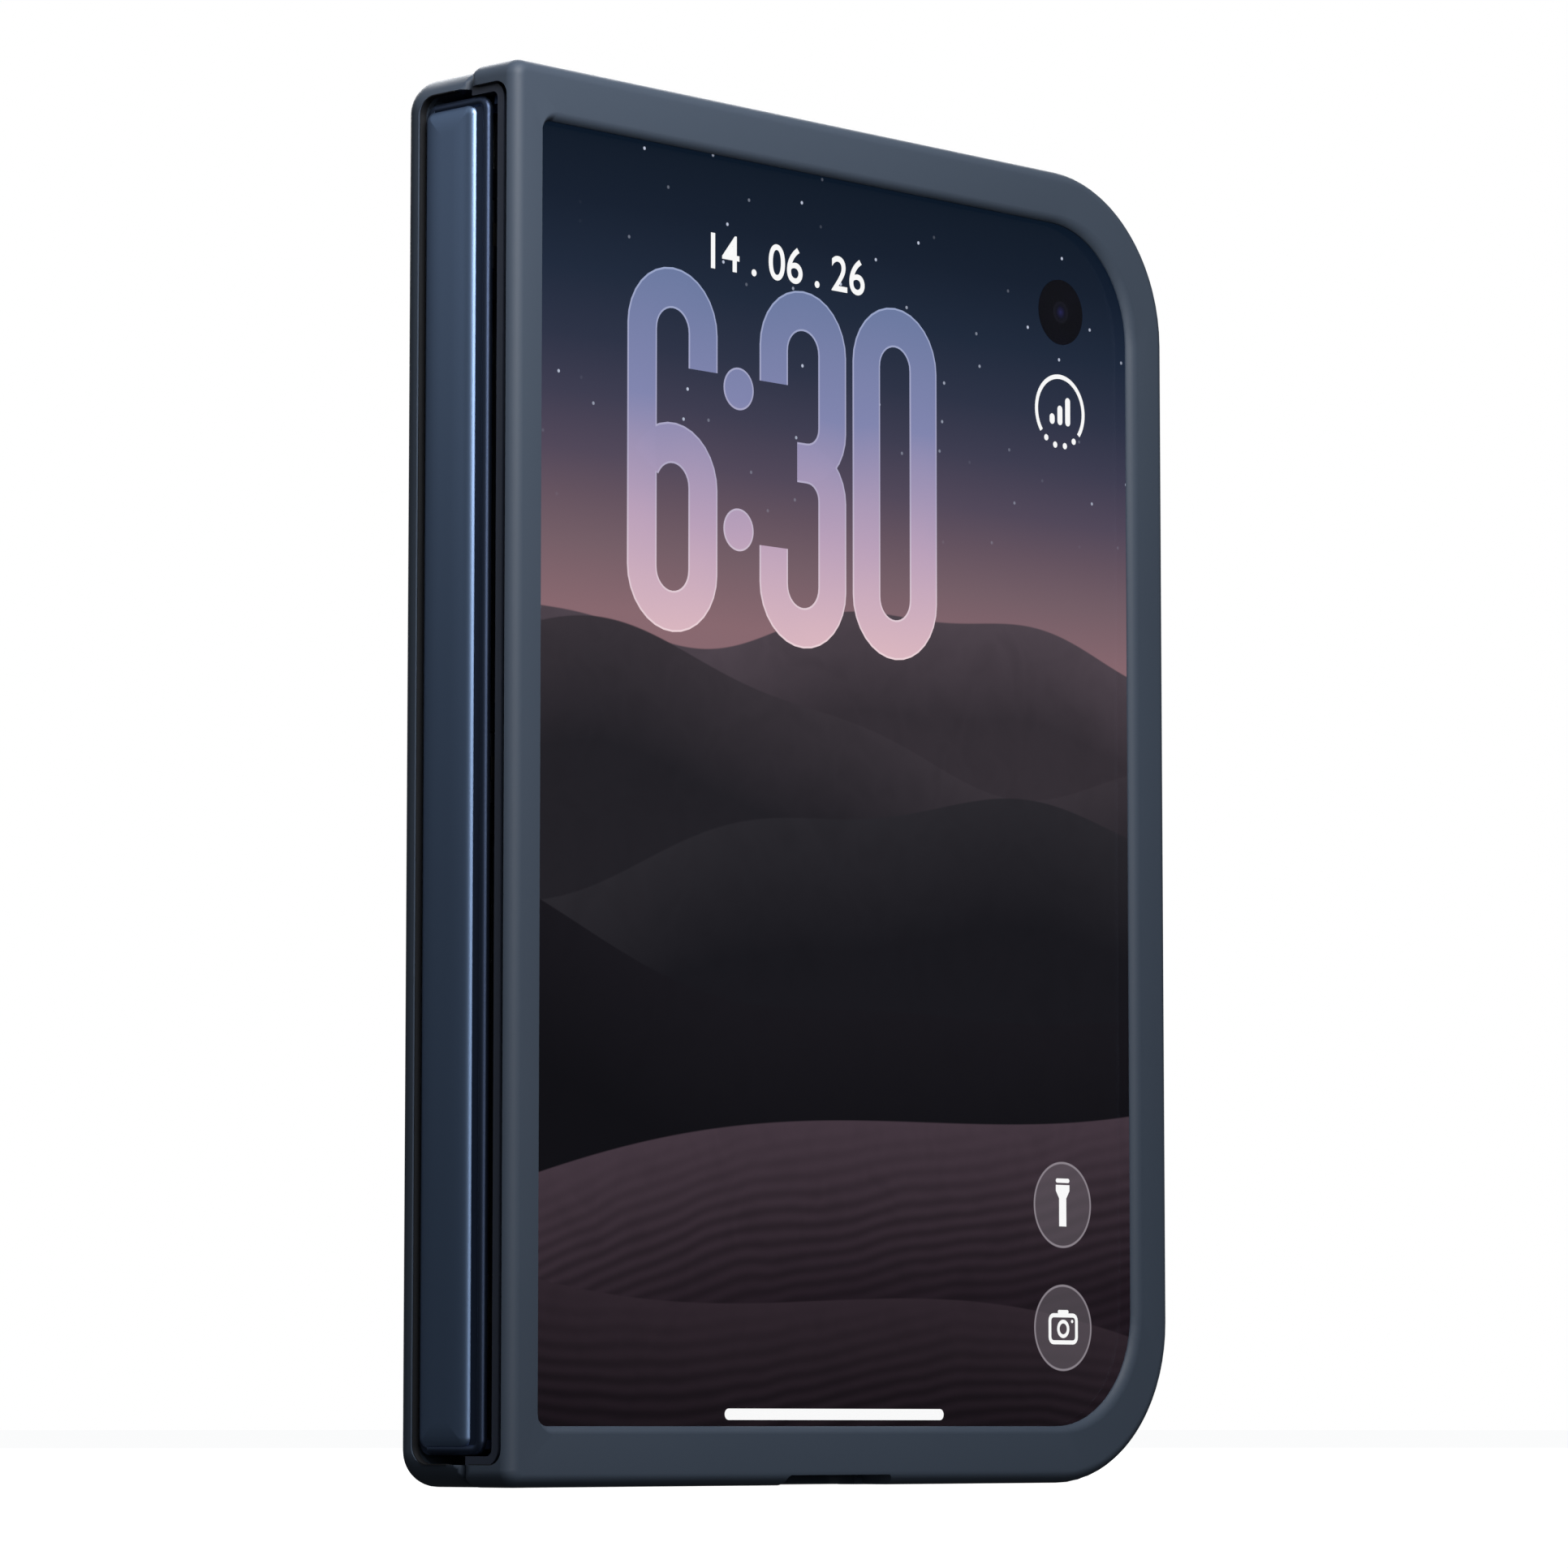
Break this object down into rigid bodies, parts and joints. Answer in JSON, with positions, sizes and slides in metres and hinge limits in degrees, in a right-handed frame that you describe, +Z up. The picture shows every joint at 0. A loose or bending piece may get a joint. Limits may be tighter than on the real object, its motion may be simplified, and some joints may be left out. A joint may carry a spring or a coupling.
{
  "type": "foldable smartphone in a protective case",
  "caption": "Book-style folding phone in a soft case: slim halves on a geared hinge with a metal spine, cover display, inner folding display, cameras, port and side buttons.",
  "frame": {"origin": "on the ground under the middle of the folded case's bounding box", "axes": "+X from the spine side to the free edge, +Y from the cover display through to the back, +Z up the case"},
  "size_m": [0.086, 0.015, 0.123],
  "materials": {
    "case_rubber": "soft-touch matte slate blue silicone",
    "lining_fabric": "fine microfibre",
    "magnet_nickel": "nickel-plated magnets",
    "frame_aluminium": "bead-blasted, dark blue anodised",
    "back_glass": "matte-etched, painted behind",
    "plateau_aluminium": "satin, dark blue anodised",
    "lens_glass": "polished, near black",
    "black_plastic": "moulded, matte",
    "flash_plastic": "clear diffuser",
    "battery_foil": "dark laminated pouch foil",
    "board_laminate": "green solder resist",
    "shield_steel": "drawn sheet steel",
    "coil_copper": "lacquered copper winding",
    "plate_aluminium": "milled",
    "fold_glass": "glossy flexible glass laminate, display off",
    "bezel_plastic": "soft black rim",
    "hinge_steel": "sintered steel, satin",
    "gear_steel": "sintered steel, oiled",
    "pin_steel": "ground and polished",
    "switch_plastic": "moulded",
    "key_aluminium": "satin, dark blue anodised",
    "pad_rubber": "soft-touch matte slate blue silicone",
    "spine_metal": "satin dark blue coated steel with bright bevels",
    "flex_film": "amber flexible circuit",
    "clip_plastic": "stiff moulded rail",
    "cover_glass": "polished",
    "cover_panel": "lit display panel",
    "mesh_steel": "fine black mesh"
  },
  "bodies": {
    "rear_half": {"rear_shell": "case_rubber", "rear_lining": "lining_fabric", "case_magnets": "magnet_nickel", "rear_frame": "frame_aluminium", "back_glass": "back_glass", "camera_plateau": "plateau_aluminium", "lens_rings": "plateau_aluminium", "lens_glasses": "lens_glass", "camera_barrels": "black_plastic", "flash_lens": "flash_plastic", "rear_battery": "battery_foil", "main_board": "board_laminate", "shield_cans": "shield_steel", "charging_coil": "coil_copper", "phone_magnets": "magnet_nickel", "rear_midplate": "plate_aluminium", "rear_display": "fold_glass", "rear_bezel": "bezel_plastic", "inner_camera": "lens_glass", "rear_bracket": "hinge_steel", "rear_gears": "gear_steel", "rear_screws": "shield_steel", "side_switches": "switch_plastic"},
    "power_button": {"power_key": "key_aluminium", "power_pad": "pad_rubber"},
    "volume_up_button": {"volume_up_key": "key_aluminium", "volume_up_pad": "pad_rubber"},
    "volume_down_button": {"volume_down_key": "key_aluminium", "volume_down_pad": "pad_rubber"},
    "spine": {"spine_cover": "spine_metal", "spine_end_caps": "spine_metal", "hinge_blocks": "hinge_steel", "hinge_pins": "pin_steel", "idler_pins": "pin_steel", "hinge_flex": "flex_film", "fold_display": "fold_glass"},
    "idler_rear": {"idler_gears_rear": "gear_steel"},
    "idler_front": {"idler_gears_front": "gear_steel"},
    "front_half": {"front_shell": "case_rubber", "clip_rail": "clip_plastic", "cover_glass": "cover_glass", "cover_panel": "cover_panel", "cover_camera": "lens_glass", "front_frame": "frame_aluminium", "front_midplate": "plate_aluminium", "front_display": "fold_glass", "front_bezel": "bezel_plastic", "front_battery": "battery_foil", "sub_board": "board_laminate", "usb_port": "shield_steel", "usb_tongue": "black_plastic", "loudspeaker": "black_plastic", "speaker_mesh": "mesh_steel", "earpiece": "black_plastic", "vibration_motor": "shield_steel", "front_bracket": "hinge_steel", "front_gears": "gear_steel", "front_screws": "shield_steel"}
  },
  "joints": [
    {"name": "spine_fold", "type": "hinge", "parent": "rear_half", "child": "spine", "pos_m": [-0.04138, 0.0007, 0], "axis": [0, 0, -1], "range_deg": [0, 90], "deforming": ["fold_display"]},
    {"name": "front_fold", "type": "hinge", "parent": "spine", "child": "front_half", "pos_m": [-0.04138, -0.0028, 0], "axis": [0, 0, -1], "range_deg": [0, 90]},
    {"name": "idler_rear_spin", "type": "hinge", "parent": "spine", "child": "idler_rear", "pos_m": [-0.04138, -0.00047, 0], "axis": [0, 0, -1], "range_deg": [0, 90]},
    {"name": "idler_front_spin", "type": "hinge", "parent": "spine", "child": "idler_front", "pos_m": [-0.04138, -0.00163, 0], "axis": [0, 0, -1], "range_deg": [-90, 0]},
    {"name": "power_press", "type": "slide", "parent": "rear_half", "child": "power_button", "axis": [-1, 0, 0], "range_m": [0, 0.0003], "stiffness_N_per_m": 4000},
    {"name": "volume_up_press", "type": "slide", "parent": "rear_half", "child": "volume_up_button", "axis": [-1, 0, 0], "range_m": [0, 0.0003], "stiffness_N_per_m": 4000},
    {"name": "volume_down_press", "type": "slide", "parent": "rear_half", "child": "volume_down_button", "axis": [-1, 0, 0], "range_m": [0, 0.0003], "stiffness_N_per_m": 4000}
  ],
  "couplings": [
    {"joint": "front_fold", "follows": "spine_fold", "ratio": 1},
    {"joint": "idler_rear_spin", "follows": "spine_fold", "ratio": 1},
    {"joint": "idler_front_spin", "follows": "spine_fold", "ratio": -1}
  ]
}
